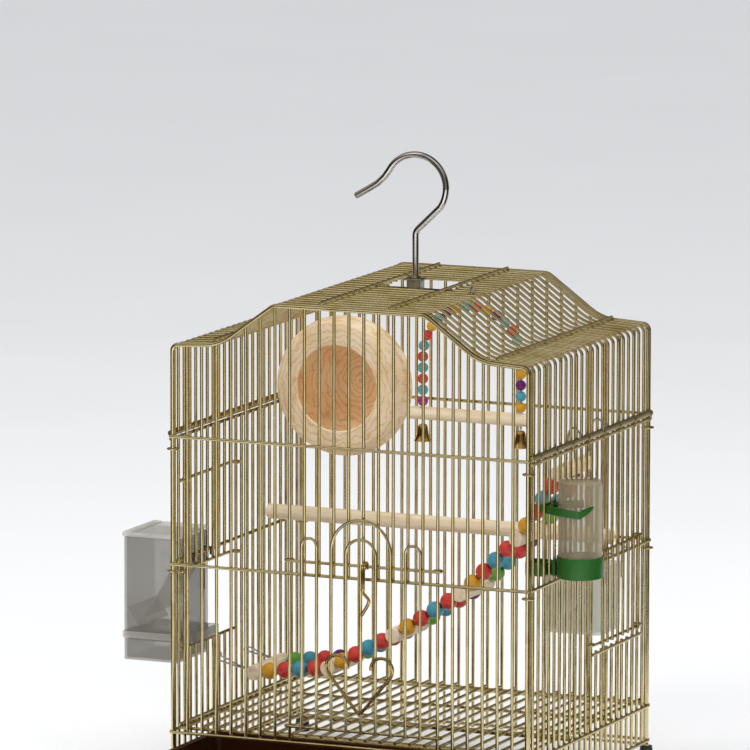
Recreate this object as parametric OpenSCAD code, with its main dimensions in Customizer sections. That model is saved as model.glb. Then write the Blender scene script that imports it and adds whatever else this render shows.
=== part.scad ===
// Wire bird cage with an ogee roof, a hanging hook, a pull-out tray and its fittings.
// Built round the cage itself: X across the front, Y front to back, Z = 0 at the floor rail.
// placed() then moves everything so that the row origin is the middle of the footprint.

/* [Cage body] */
// Width between the corner posts
cage_w = 350; // [346:1:354]
// Depth between the corner posts
cage_d = 292; // [290:1:294]
// Height of the shoulder corner above the floor rail
shoulder_z = 358; // [354:1:362]
// Height of the flat roof above the floor rail
roof_z = 400; // [398:1:404]
// Half width of the flat roof
flat_half = 74; // [70:1:78]
// Height of the upper side rail
upper_rail_z = 274; // [272:1:278]
// Height of the middle rail
mid_rail_z = 156; // [154:1:158]
// Drop of the lowest rail below the floor rail
low_rail_z = -33; // [-34:0.5:-32]

/* [Wire] */
// Diameter of the bars
bar_d = 3; // [2.8:0.1:3]
// Diameter of the corner posts and top frames
post_d = 4; // [3.6:0.1:4]
// Diameter of the bars of the sliding doors
door_bar_d = 2.8; // [2.4:0.1:2.8]
// Spaces between bars across the front
front_gaps = 24; // [24:1:24]
// Spaces between bars from front to back
side_gaps = 23; // [23:1:23]

/* [Fittings] */
// How far the tray is pulled out
tray_pull = 205; // [150:5:210]
// How far the left feeder door is raised
left_door_lift = 64; // [55:1:66]
// Diameter of the hanging hook rod
hook_d = 6; // [5:0.5:6]
// Diameter of the main perch
perch_d = 14; // [12:1:15]
// Diameter of the rim of the wooden nest bowl
bowl_d = 123; // [118:1:124]

/* [Hidden] */

hx = cage_w / 2;
hy = cage_d / 2;
front_pitch = cage_w / front_gaps;
side_pitch = cage_d / side_gaps;
rail_step = bar_d - 0.2;             // rails lie outside the bars and sink 0.2 mm into them
door_rail_step = rail_step + 0.8;    // door rails stand clear of the bars
door_bar_step = door_rail_step + 2.5;
edge_y = hy - 3.7;                   // edge bars of the side walls and roof, beside the posts
foot_h = 14;
foot_top = low_rail_z - 5.3;
base_z = foot_top - foot_h;
rails = [0, mid_rail_z, upper_rail_z];

// Ogee outline of the top, from the middle to the right shoulder corner
slope = 36;
shoulder_fall = 0.06;
foot_x = (roof_z - shoulder_z + flat_half * tan(slope) - hx * shoulder_fall)
         / (tan(slope) - shoulder_fall);
foot_z = roof_z - (foot_x - flat_half) * tan(slope);
half_crown = [[0, roof_z], [flat_half, roof_z], [foot_x, foot_z], [hx, shoulder_z]];
crown_r = [0, 12, 48, 0];

function unit(v) = v / norm(v);
function x_at(i) = -hx + i * front_pitch;
function y_at(j) = -hy + j * side_pitch;

// Rounded polyline: each inner corner of p becomes an arc of radius r, in steps of about step degrees
function turn(p, i) = acos(max(-1, min(1, unit(p[i] - p[i - 1]) * unit(p[i + 1] - p[i]))));
function bend(p, r, i, step) =
  let (u = unit(p[i] - p[i - 1]), s = sign(cross(p[i] - p[i - 1], p[i + 1] - p[i])),
       t = p[i] - u * r * tan(turn(p, i) / 2), c = t + s * r * [-u[1], u[0]],
       n = max(1, round(turn(p, i) / step)), a = s * turn(p, i) / n, v = t - c)
  [for (k = [0 : n]) c + [v[0] * cos(k * a) - v[1] * sin(k * a), v[0] * sin(k * a) + v[1] * cos(k * a)]];
function rounded(p, r, step = 12) =
  [p[0], for (i = [1 : len(p) - 2]) each bend(p, r[i], i, step), p[len(p) - 1]];
function arc(c, r, a0, a1, n) = [for (k = [0 : n]) c + r * [cos(a0 + (a1 - a0) * k / n), sin(a0 + (a1 - a0) * k / n)]];
function mirrored(p) = [for (i = [len(p) - 1 : -1 : 0]) [-p[i][0], p[i][1]]];

crown = rounded(half_crown, crown_r);
function crown_z(x) = lookup(abs(x), crown);
function tangent(p, i) = unit(p[min(i + 1, len(p) - 1)] - p[max(i - 1, 0)]);
function left_of(p, i) = let (t = tangent(p, i)) [-t[1], t[0]];

// Straight round rod between two points
module rod(a, b, d) {
  v = b - a;
  translate(a) rotate([0, acos(v[2] / norm(v)), atan2(v[1], v[0])]) cylinder(h = norm(v), d = d, $fn = 24);
}

// Flat-sided bar, w square, that follows a path in the XZ plane at depth y
module strip(path, w, y = 0) {
  last = len(path) - 1;
  translate([0, y + w / 2, 0]) rotate([90, 0, 0]) linear_extrude(w)
    polygon([for (i = [0 : last]) path[i] + left_of(path, i) * w / 2,
             for (i = [last : -1 : 0]) path[i] - left_of(path, i) * w / 2]);
}

// Round wire that follows a path in the XZ plane at depth y
module bent_wire(path, d, y = 0, sides = 8) {
  n = len(path);
  points = [for (i = [0 : n - 1]) for (k = [0 : sides - 1])
    let (a = 360 * k / sides, q = path[i] + left_of(path, i) * cos(a) * d / 2)
    [q[0], y + sin(a) * d / 2, q[1]]];
  quads = [for (i = [0 : n - 2]) for (k = [0 : sides - 1])
    let (m = (k + 1) % sides) [i * sides + k, i * sides + m, (i + 1) * sides + m, (i + 1) * sides + k]];
  polyhedron(points, concat(quads, [[for (k = [sides - 1 : -1 : 0]) k]],
                            [[for (k = [0 : sides - 1]) (n - 1) * sides + k]]));
}

module placed() {
  x_low = -(hopper_x + hopper_lid_lip);
  x_high = water_x + water_cup_r;
  y_low = -(tray_front_y + tray_pull);
  y_high = nut_end_y;
  translate([-(x_low + x_high) / 2, -(y_low + y_high) / 2, -base_z]) children();
}

// ---- Wire panels ----

door_left_i = 8;                     // bars that guide the front door
door_right_i = 18;
door_mid_x = (x_at(door_left_i) + x_at(door_right_i)) / 2;

module end_frame(side) {
  y = side * hy;
  for (sx = [-1, 1]) rod([sx * hx, y, foot_top - 8], [sx * hx, y, shoulder_z - 4], post_d);
  corner = [[hx, shoulder_z - 5], [hx, shoulder_z], [foot_x, foot_z], [flat_half, roof_z], [0, roof_z]];
  path = rounded(corner, [0, 4, 48, 12, 0]);
  strip(concat(path, [for (i = [len(path) - 2 : -1 : 0]) [-path[i][0], path[i][1]]]), post_d, y);
}

module front_panel() color("#d9c28a") placed() {
  end_frame(-1);
  for (i = [1 : front_gaps - 1]) {
    in_door = i > door_left_i && i < door_right_i;
    rod([x_at(i), -hy, in_door ? mid_rail_z - 2 : -2], [x_at(i), -hy, crown_z(x_at(i)) - 0.5], bar_d);
  }
  for (z = rails) rod([-hx - 2, -hy - rail_step, z], [hx + 2, -hy - rail_step, z], bar_d);
}

module back_panel() color("#d9c28a") placed() {
  end_frame(1);
  for (i = [1 : front_gaps - 1])
    rod([x_at(i), hy, low_rail_z - 2], [x_at(i), hy, crown_z(x_at(i)) - 0.5], bar_d);
  for (z = concat(rails, [low_rail_z]))
    rod([-hx - 2, hy + rail_step, z], [hx + 2, hy + rail_step, z], bar_d);
}

// Roof opening round the hook, between two rods and two cross bars
rod_x = 34.5;
gap_first = 12;
gap_last = 16;
hook_y = y_at(12);
bridge_z = roof_z - 3.4;

module roof_wire(y) {
  side = [[hx, upper_rail_z + 1.5], [hx, shoulder_z], [foot_x, foot_z], [flat_half, roof_z], [0, roof_z]];
  path = rounded(side, [0, 6, 48, 12, 0]);
  strip(concat(path, [for (i = [len(path) - 2 : -1 : 0]) [-path[i][0], path[i][1]]]), bar_d, y);
}

module roof_sheet() color("#d9c28a") placed() {
  difference() {
    union() {
      for (y = [-edge_y, edge_y]) roof_wire(y);
      for (j = [1 : side_gaps - 1]) roof_wire(y_at(j));
    }
    translate([-rod_x, y_at(gap_first) - side_pitch / 2, roof_z - 10])
      cube([2 * rod_x, (gap_last - gap_first + 1) * side_pitch, 20]);
  }
  for (sx = [-1, 1]) {
    rod([sx * rod_x, -hy + 12, roof_z + 2.8], [sx * rod_x, hy - 2.3, roof_z + 2.8], bar_d);
    rod([sx * 139, -hy + 12, crown_z(139) + 2.8], [sx * 139, hy - 2.3, crown_z(139) + 2.8], bar_d);
    rod([sx * (hx + rail_step), -edge_y - 2, upper_rail_z + 3.5],
        [sx * (hx + rail_step), edge_y + 2, upper_rail_z + 3.5], bar_d);
  }
  difference() {
    translate([-rod_x - 6, y_at(11) - 2, bridge_z]) cube([2 * rod_x + 12, hook_y - y_at(11) + 12, 2.6]);
    translate([0, hook_y, 0]) cylinder(h = 500, r = hook_d / 2 + 0.4, $fn = 48);
  }
}

// Side wall below the upper rail, with a feeder opening between bars j0 and j1
opening_low_z = 72;

module side_panel(side, j0, j1) {
  x = side * hx;
  for (y = [-edge_y, edge_y]) rod([x, y, low_rail_z - 2], [x, y, upper_rail_z - 1.5], bar_d);
  for (j = [1 : side_gaps - 1]) {
    if (j > j0 && j < j1) {
      rod([x, y_at(j), low_rail_z - 2], [x, y_at(j), opening_low_z + 1.8], bar_d);
      rod([x, y_at(j), mid_rail_z - 1.8], [x, y_at(j), upper_rail_z - 1.5], bar_d);
    } else {
      rod([x, y_at(j), low_rail_z - 2], [x, y_at(j), upper_rail_z - 1.5], bar_d);
    }
  }
  for (z = [low_rail_z, 0, mid_rail_z, upper_rail_z - 3.5])
    rod([x + side * rail_step, -edge_y - 2, z], [x + side * rail_step, edge_y + 2, z], bar_d);
  rod([x + side * rail_step, y_at(j0) - 2, opening_low_z],
      [x + side * rail_step, y_at(j1) + 2, opening_low_z], bar_d);
}

left_j = [2, 11];
right_j = [12, 21];
module left_side_panel() color("#cdb67c") placed() side_panel(-1, left_j[0], left_j[1]);
module right_side_panel() color("#cdb67c") placed() side_panel(1, right_j[0], right_j[1]);

// Channel that joins the roof sheet to each side wall
module hinge_strips() color("#8d7f4c") placed() {
  x0 = hx + rail_step + bar_d / 2 + 0.3;
  for (sx = [-1, 1]) {
    translate([sx > 0 ? x0 : -x0 - 1, -hy + 1, upper_rail_z - 6.6]) cube([1, cage_d - 2, 13.2]);
    for (z = [upper_rail_z - 6.6, upper_rail_z + 5.6])
      translate([sx > 0 ? x0 - 3 : -x0, -hy + 1, z]) cube([3, cage_d - 2, 1]);
  }
}

// Wire rings that tie the end panels to the side walls
module corner_rings() color("#e3cf9a") placed()
  for (sx = [-1, 1]) for (sy = [-1, 1]) for (z = [mid_rail_z - 7, upper_rail_z - 12])
    translate([sx * hx, sy * (hy - 1.8), z])
      rotate_extrude($fn = 40) translate([5.2, 0]) circle(d = 1.6, $fn = 16);

grille_z = 3.25;
module floor_grille() color("#cfc6a8") placed() {
  top_z = grille_z + rail_step;
  for (sy = [-1, 1]) {
    rod([-hx + 4, sy * (hy - 5), grille_z], [hx - 4, sy * (hy - 5), grille_z], bar_d);
    rod([-hx - 5, sy * 50.8, grille_z], [hx + 5, sy * 50.8, grille_z], bar_d);
  }
  for (x = [-hx + 4.2, hx - 4.2]) rod([x, -hy + 3.6, top_z], [x, hy - 3.6, top_z], bar_d);
  for (i = [1 : front_gaps - 1]) rod([x_at(i), -hy + 3.6, top_z], [x_at(i), hy - 3.6, top_z], bar_d);
}

runner_z = low_rail_z - 3.3;
module base_frame() color("#cdb67c") placed()
  for (y = [-hy + 4.4, -50.8, 50.8, hy - 4.4])
    rod([-hx - 4, y, runner_z], [hx + 4, y, runner_z], bar_d);

module feet() color("#2a2a2a") placed()
  for (sx = [-1, 1]) for (sy = [-1, 1]) translate([sx * hx, sy * hy, base_z]) difference() {
    union() {
      cylinder(h = 4, r = 7, $fn = 48);
      translate([0, 0, 4]) cylinder(h = foot_h - 4, r1 = 7, r2 = 5.5, $fn = 48);
    }
    translate([0, 0, 4]) cylinder(h = foot_h, r = post_d / 2 + 0.1, $fn = 32);
  }

// ---- Hook ----

block_z = bridge_z + 2.7;
block_h = 8.5;
hook_top_r = 30;
hook_mid_z = 493.5;

module hook_block() color("#b9bcc0") placed() translate([0, hook_y, block_z]) difference() {
  union() {
    translate([-6.5, -6.5, 0]) cube([13, 13, block_h]);
    translate([-9, -7.5, block_h]) cube([18, 15, 1.6]);
  }
  translate([0, 0, -1]) cylinder(h = 20, r = hook_d / 2 + 0.05, $fn = 64);
}

module hook() color("#d6d8db") placed() translate([0, hook_y, 0]) {
  hook_path = concat([[0, 446], [0, 449]],
                     rounded([[1, 453.5], [10, 463], [24.5, 476]], [0, 30, 0], 8),
                     arc([0, hook_mid_z], hook_top_r, -26, 150, 26),
                     [[-31, 501.5], [-38, 495], [-47, 489.5], [-60, 482]]);
  rod([0, 0, bridge_z - 9], [0, 0, 448], hook_d);
  bent_wire(hook_path, hook_d - 0.1, 0, 16);
}

module hook_nut() color("#b9bcc0") placed() translate([0, hook_y, bridge_z - 6.3]) difference() {
  union() {
    cylinder(h = 4.6, r = 5.6, $fn = 6);
    translate([0, 0, 4.6]) cylinder(h = 1.2, r = 7, $fn = 48);
  }
  translate([0, 0, -1]) cylinder(h = 10, r = hook_d / 2 + 0.05, $fn = 48);
}

// ---- Perch ----

perch_y = (y_at(16) + y_at(17)) / 2;
perch_z = 172;
perch_half = hx + 0.2;

// The dowel's ends are notched and sit between two bars of each side wall
module perch() color("#ead2ac") placed() difference() {
  rod([-perch_half, perch_y, perch_z], [perch_half, perch_y, perch_z], perch_d);
  for (sx = [-1, 1], j = [16, 17])
    rod([sx * hx, y_at(j), perch_z - 10], [sx * hx, y_at(j), perch_z + 10], bar_d + 0.3);
}

// ---- Sliding doors ----

door_low_z = 15;
door_high_z = 168;
door_rail_y = -hy - door_rail_step;
door_bar_y = -hy - door_bar_step;

// Half ring on two legs, each a door bar
module arch(x, half, spring_z) {
  for (s = [-1, 1]) rod([x + s * half, door_bar_y, door_low_z - 1.6],
                        [x + s * half, door_bar_y, spring_z + 0.6], door_bar_d);
  strip(arc([x, spring_z], half, 0, 180, 16), door_bar_d, door_bar_y);
}

module guide_loop(x, y, z) translate([x, y, z])
  rotate_extrude($fn = 40) translate([3.2, 0]) circle(d = 2.2, $fn = 16);

module front_door() color("#e0ca92") placed() {
  for (z = [door_low_z, door_high_z]) {
    rod([x_at(door_left_i) - 1, door_rail_y, z], [x_at(door_right_i) + 1, door_rail_y, z], door_bar_d);
    for (i = [door_left_i, door_right_i]) guide_loop(x_at(i), -hy, z);
  }
  arch(door_mid_x, 2 * front_pitch, 181);
  arch(door_mid_x, front_pitch, 178);
  for (s = [-1, 1]) arch(door_mid_x + s * 3.5 * front_pitch, front_pitch / 2, 183);
  rod([door_mid_x, door_bar_y, door_low_z - 1.6], [door_mid_x, door_bar_y, door_high_z + 1.6], door_bar_d);
}

heart_x = 22;
heart_z = 75;
heart_r = 10.8;
heart_tip_z = 33;
module door_heart() color("#b89a45") placed() {
  y = door_bar_y - door_bar_d / 2 - 1.6;
  lobe = concat(arc([heart_x, heart_z], heart_r, 185, -38, 18), [[1.2, heart_tip_z]]);
  for (s = [-1, 1]) bent_wire([for (p = lobe) [door_mid_x + s * p[0], p[1]]], bar_d, y);
}

latch_y = door_bar_y - door_bar_d / 2 - 1.7;
latch_x = door_mid_x + 3.4;
module door_latch() color("#c8a552") placed() {
  path = [[0, 171], [0, 150], [0, 146], [6, 138], [4, 133], [-1, 124]];
  bent_wire([for (p = path) [latch_x + p[0], p[1]]], 2.6, latch_y);
  translate([latch_x, door_rail_y, door_high_z]) rotate([0, 90, 0])
    rotate_extrude($fn = 32) translate([3.8, 0]) circle(d = 2.2, $fn = 12);
}

module side_door(side, j0, j1, lift) {
  rail_x = side * (hx + door_rail_step);
  bar_x = side * (hx + door_bar_step);
  translate([0, 0, lift]) {
    for (z = [81, 165]) {
      rod([rail_x, y_at(j0) - 1, z], [rail_x, y_at(j1) + 1, z], door_bar_d);
      for (j = [j0, j1]) guide_loop(side * hx, y_at(j), z);
    }
    for (j = [j0 + 1 : j1 - 1]) rod([bar_x, y_at(j), 79.4], [bar_x, y_at(j), 166.6], door_bar_d);
  }
}
module left_feeder_door() color("#e0ca92") placed() side_door(-1, left_j[0], left_j[1], left_door_lift);
module right_feeder_door() color("#e0ca92") placed() side_door(1, right_j[0], right_j[1], 0);

// ---- Tray ----

tray_half = hx - 3.5;
tray_top_z = -13.5;
tray_low_z = runner_z + bar_d / 2 + 0.3;
tray_front_y = hy + 12;
tray_back_y = hy - 7;
module tray() color("#38201a") placed() translate([0, -tray_pull, 0]) {
  difference() {
    translate([-tray_half, -hy - 4, tray_low_z]) cube([2 * tray_half, hy + 4 + tray_back_y, tray_top_z - tray_low_z]);
    translate([-tray_half + 2.2, -hy - 1.8, tray_low_z + 2])
      cube([2 * tray_half - 4.4, hy + 1.8 + tray_back_y - 2.2, 40]);
  }
  translate([-hx - 1, -hy - 7, tray_low_z + 0.5]) cube([cage_w + 2, 3.2, 29]);
  translate([-30, -tray_front_y, -12]) cube([60, tray_front_y - hy - 6.8, 3]);
}

// ---- Seed hopper on the left wall ----

hopper_x = 238;
hopper_in_x = hx + 8.2;
hopper_y0 = -117;
hopper_y1 = -50;
hopper_low_z = 57.6;
hopper_high_z = 172;
hopper_lid_lip = 1.5;
wall_t = 2;
trough_y0 = -112;
trough_y1 = -55;
trough_low_z = 75.4;
trough_high_z = 95;

module hopper_shell() color("#b8bcbc", 0.5) placed() {
  w = hopper_x - hopper_in_x;
  depth = hopper_y1 - hopper_y0;
  difference() {
    union() {
      translate([-hopper_x, hopper_y0, hopper_low_z]) cube([w, depth, hopper_high_z - hopper_low_z]);
      translate([-hopper_x - 1.5, hopper_y0 - 1.5, 78]) cube([w + 1.5, depth + 3, 6]);
    }
    translate([-hopper_x + wall_t, hopper_y0 + wall_t, hopper_low_z + wall_t])
      cube([w - 2 * wall_t, depth - 2 * wall_t, 200]);
    translate([-hopper_in_x - 4, trough_y0 - 0.3, trough_low_z - 0.3])
      cube([6, trough_y1 - trough_y0 + 0.6, trough_high_z - trough_low_z + 0.6]);
  }
}

// The lid turns about its edge at the wall, 3.4 mm out from the shell's inner face
module hopper_lid() color("#c9cdcd", 0.5) placed() {
  w = hopper_x - hopper_in_x - 2.8 + hopper_lid_lip;
  translate([-hopper_x - hopper_lid_lip, hopper_y0 - 1.5, hopper_high_z + 0.6])
    cube([w, hopper_y1 - hopper_y0 + 3, 2.2]);
  translate([-hopper_x - hopper_lid_lip, hopper_y0 - 1.5, hopper_high_z + 2.6])
    cube([9, hopper_y1 - hopper_y0 + 3, 2]);
}

// Two sloping plates that lead the seed to the trough
module hopper_chute() color("#c9cdcd", 0.5) placed() {
  y0 = hopper_y0 + wall_t + 0.3;
  depth = hopper_y1 - hopper_y0 - 2 * wall_t - 0.6;
  translate([0, y0 + depth, 0]) rotate([90, 0, 0]) linear_extrude(depth) {
    polygon([[-186, 150], [-188, 150], [-218, 99], [-216, 99]]);
    polygon([[-235.5, 106], [-235.5, 103.5], [-224, 88], [-222.4, 89.4]]);
  }
}

module hopper_trough() color("#c9cdcd", 0.5) placed() difference() {
  translate([-hopper_x + wall_t + 0.4, trough_y0, trough_low_z])
    cube([hopper_x - wall_t - 170.4, trough_y1 - trough_y0, 2 + 8]);
  translate([-hopper_x + wall_t + 2.4, trough_y0 + 2, trough_low_z + 2])
    cube([hopper_x - wall_t - 174.4, trough_y1 - trough_y0 - 4, 20]);
}

// Wire hook that hangs a feeder on the middle rail: plate_x is the feeder's face
module rail_hook(side, y, plate_x, low) {
  top = mid_rail_z + 3.4;
  inner = hx + rail_step - 2.9;
  translate([0, y, 0]) {
    rod([side * plate_x, 0, low], [side * plate_x, 0, top], 1.8);
    rod([side * plate_x, 0, top - 0.8], [side * inner, 0, top - 0.8], 1.8);
    rod([side * inner, 0, top - 8], [side * inner, 0, top], 1.8);
  }
}

module hopper_hooks() color("#3d3a33") placed()
  for (j = [3.5, 6.5]) rail_hook(-1, y_at(j), hopper_in_x - 1.5, 118);

// ---- Seed cup on the right wall ----

cup_x0 = 112;
cup_x1 = 171;
cup_y0 = 36.5;
cup_y1 = 95;
cup_z0 = 83;
cup_z1 = 144;
module cup_shape(inset, z0, z1) hull() for (z = [z0, z1]) {
  grow = (z - cup_z0) / (cup_z1 - cup_z0) * 3 - inset;
  translate([cup_x0 + 3 - grow, cup_y0 + 3 - grow, z])
    cube([cup_x1 - cup_x0 - 3 + grow - inset, cup_y1 - cup_y0 - 6 + 2 * grow, 0.01]);
}
module feeder_cup() color("#dfe0da", 0.7) placed() difference() {
  cup_shape(0, cup_z0, cup_z1);
  cup_shape(2, cup_z0 + 2, cup_z1 + 1);
}

module feeder_cup_hooks() color("#c9c9c4") placed()
  for (j = [15.5, 18.5]) {
    y = y_at(j);
    rod([cup_x1 + 1.2, y, 130], [cup_x1 + 1.2, y, mid_rail_z + 3.4], 1.8);
    rod([cup_x1 + 1.2, y, mid_rail_z + 2.6], [hx + rail_step + 2, y, mid_rail_z + 2.6], 1.8);
  }

// ---- Waterer on the right wall ----

water_x = hx + 27.5;
water_y = (y_at(4) + y_at(5)) / 2;
water_low_z = 161.8;
water_cup_h = 19.5;
water_cup_r = 21.3;
tube_r = 20;
tube_low_z = water_low_z + 5;
tube_high_z = 250.6;

module water_cup() color("#2e7a33") placed() {
  difference() {
    union() {
      translate([water_x, water_y, water_low_z]) cylinder(h = water_cup_h, r = water_cup_r, $fn = 96);
      translate([hx - 4, water_y - 4, water_low_z]) cube([water_x - hx - 10, 8, 12]);
      translate([hx - 22, water_y - 13, water_low_z]) cube([19, 26, 12]);
    }
    translate([water_x, water_y, water_low_z + 2]) cylinder(h = 30, r = tube_r + 0.3, $fn = 96);
    translate([hx - 20, water_y - 11, water_low_z + 2]) cube([15.2, 22, 20]);
    translate([hx - 10, water_y - 2.4, water_low_z + 2]) cube([20, 4.8, 8]);
  }
}

module water_tube() color("#a89f90", 0.4) placed() translate([water_x, water_y, tube_low_z]) difference() {
  cylinder(h = tube_high_z - tube_low_z, r = tube_r, $fn = 96);
  translate([0, 0, -1]) cylinder(h = tube_high_z - tube_low_z - 1, r = tube_r - 1.5, $fn = 96);
  translate([-3, -30, -1]) cube([6, 60, 5]);
}

// Band that holds the tube: an arm through the bars, an open collar and a locking bar inside
clip_z = 221;
clip_h = 7;
module water_clip() color("#2e7a33") placed() {
  translate([hx - 4, water_y - 4, clip_z]) cube([10, 8, clip_h]);
  translate([hx - 5.5, water_y - 12, clip_z]) cube([3, 24, clip_h]);
  translate([water_x, water_y, clip_z]) difference() {
    union() {
      cylinder(h = clip_h, r = tube_r + 2.4, $fn = 96);
      translate([hx - water_x + 5, -6, 0]) cube([8, 12, clip_h]);
    }
    translate([0, 0, -1]) cylinder(h = clip_h + 2, r = tube_r + 0.4, $fn = 96);
    translate([8, -40, -1]) cube([40, 80, clip_h + 2]);
  }
}

// ---- Nest bowl on the back wall ----

bowl_x = -107;
bowl_z = 291;
bowl_y = 70;
bowl_len = hy - bar_d / 2 - 0.4 - bowl_y;
bolt_y0 = bowl_y + bowl_len - 14;
nut_end_y = hy + 17;
module at_bowl(y) translate([bowl_x, y, bowl_z]) rotate([-90, 0, 0]) children();

module nest_bowl() color("#dcb27c") placed() at_bowl(bowl_y) {
  r = bowl_d / 2;
  outer = concat([[0, 0], [r - 4, 0]], arc([r - 23.5, 20], 28, -35, 62, 12),
                 [[43, 58], [30, bowl_len], [0, bowl_len]]);
  inner = concat([[0, -1], [40, -1], [40, 3]], arc([12, 22], 36, -12, 76, 12), [[0, 57]]);
  difference() {
    rotate_extrude($fn = 96) polygon(outer);
    rotate_extrude($fn = 96) polygon(inner);
    translate([0, 0, 61.7]) cylinder(h = 200, r = 3.3, $fn = 48);
  }
}

module nest_bolt() color("#c3c6c9") placed() at_bowl(0) {
  translate([0, 0, bowl_y + 62]) cylinder(h = nut_end_y - bowl_y - 62, r = 3, $fn = 48);
}

module ring_plate(r, hole, t) difference() {
  cylinder(h = t, r = r, $fn = 48);
  translate([0, 0, -1]) cylinder(h = t + 2, r = hole, $fn = 48);
}
module nest_washers() color("#c3c6c9") placed() at_bowl(0)
  translate([0, 0, hy + bar_d / 2 + 0.2]) ring_plate(15, 3.3, 1.5);

module nest_wing_nut() color("#c3c6c9") placed() at_bowl(hy + bar_d / 2 + 2) difference() {
  union() {
    cylinder(h = 8, r = 5.5, $fn = 48);
    for (s = [-1, 1]) rotate([0, 0, 20]) translate([s * 9, 0, 6.8]) rotate([90, 0, 0])
      translate([0, 0, -1.3]) cylinder(h = 2.6, r = 6.5, $fn = 48);
  }
  translate([0, 0, -5]) cylinder(h = 30, r = 3.05, $fn = 48);
}

// ---- Swing ----

swing_y = y_at(11);
swing_x = 61.5;
swing_half = 48.5;
swing_low_z = 287;
swing_bend_z = 340;
swing_dowel_r = 6;
bead_r = 4.9;
bead_hole = 1.5;
swing_arc_n = 40;

// Centre line of the swing, from the left leg over the top to the right leg; s is the length along it
leg = swing_bend_z - swing_low_z;
half_turn = 3.14159 * swing_half;
function swing_at(s) =
  s < leg ? [-swing_half, swing_low_z + s, 90]
  : s < leg + half_turn
    ? let (a = 180 - (s - leg) / swing_half * 57.2958) [swing_half * cos(a), swing_bend_z + swing_half * sin(a), a - 90]
    : [swing_half, swing_bend_z - (s - leg - half_turn), -90];

module swing_wire() color("#c9c9c4") placed() translate([swing_x, 0, 0]) {
  arch_path = concat([[-swing_half, swing_low_z - 9], [-swing_half, swing_bend_z]],
                     arc([0, swing_bend_z], swing_half, 174, 6, 26),
                     [[swing_half, swing_bend_z], [swing_half, swing_low_z - 9]]);
  bent_wire(arch_path, 2, swing_y);
  translate([0, swing_y, roof_z]) rotate([0, 90, 0])
    rotate_extrude($fn = 48) translate([6, 0]) circle(d = 1.8, $fn = 16);
  rod([0, swing_y, swing_bend_z + swing_half - 0.6], [0, swing_y, roof_z - 5.6], 2);
}

module swing_perch() color("#efd9b8") placed() difference() {
  rod([swing_x - 61, swing_y, swing_low_z], [swing_x + 57, swing_y, swing_low_z], 2 * swing_dowel_r);
  for (s = [-1, 1]) translate([swing_x + s * swing_half, swing_y, swing_low_z - 10])
    cylinder(h = 20, r = 1.4, $fn = 32);
}

// Each colour takes the beads at its places along the wire
swing_first = swing_dowel_r + bead_r + 0.4;
swing_codes = "MTRTRTRYTPYTRYPTRTRTYPTY";
swing_pitch = (2 * leg + half_turn - 2 * swing_first) / (len(swing_codes) - 1);
module swing_beads(code) for (k = [0 : len(swing_codes) - 1]) if (swing_codes[k] == code) {
  p = swing_at(swing_first + k * swing_pitch);
  translate([swing_x + p[0], swing_y, p[1]]) rotate([0, 90 - p[2], 0]) difference() {
    sphere(r = bead_r, $fn = 32);
    translate([0, 0, -10]) cylinder(h = 20, r = bead_hole, $fn = 24);
  }
}
module swing_beads_red() color("#c32330") placed() swing_beads("R");
module swing_beads_teal() color("#49a3ab") placed() swing_beads("T");
module swing_beads_yellow() color("#e0a51c") placed() swing_beads("Y");
module swing_beads_purple() color("#7a1d9c") placed() swing_beads("P");
module swing_beads_magenta() color("#b01c78") placed() swing_beads("M");

bell_z = swing_low_z - 9.9;
module bell(x) placed() translate([x, swing_y, bell_z]) {
  rotate_extrude($fn = 64) polygon([[0, 0], [2.6, 0], [4.4, -1.4], [5.2, -8], [8, -15.6],
                                    [7, -15.6], [4.2, -8], [3.4, -2.4], [0, -1.6]]);
  translate([0, 0, -14]) cylinder(h = 13, r = 0.6, $fn = 24);
  translate([0, 0, -14.6]) sphere(r = 2.2, $fn = 32);
}
module bell_left() color("#d6a93c") bell(swing_x - swing_half);
module bell_right() color("#d6a93c") bell(swing_x + swing_half);

// ---- Bead ladder ----

ladder_y = [-42, 15];
rung_y0 = -49;
rung_y1 = 22;
rung_r = 7.1;
ladder_points = [[-139, 40], [-64, 50], [1, 85.5], [67, 129], [123, 184], [163, 247]];
ladder_left = [-172, 47];
ladder_right = [171, 262];
ladder_bead_r = 7.8;
ladder_bead_len = 14.6;

module ladder_rungs() color("#ecd6b0") placed() for (k = [0 : 5]) {
  p = ladder_points[k];
  q = k < 5 ? ladder_points[k + 1] - p : ladder_right - p;
  o = k > 0 ? p - ladder_points[k - 1] : p - ladder_left;
  difference() {
    rod([p[0], rung_y0, p[1]], [p[0], rung_y1, p[1]], 2 * rung_r);
    for (y = ladder_y) for (v = [unit(q), -unit(o)])
      rod([p[0] - v[0], y, p[1] - v[1]], [p[0] + 9 * v[0], y, p[1] + 9 * v[1]], 3);
  }
}

ladder_path = concat([ladder_left], ladder_points, [ladder_right]);
module ladder_wires() color("#c9c9c4") placed() for (y = ladder_y) bent_wire(ladder_path, 1.8, y);

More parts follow.
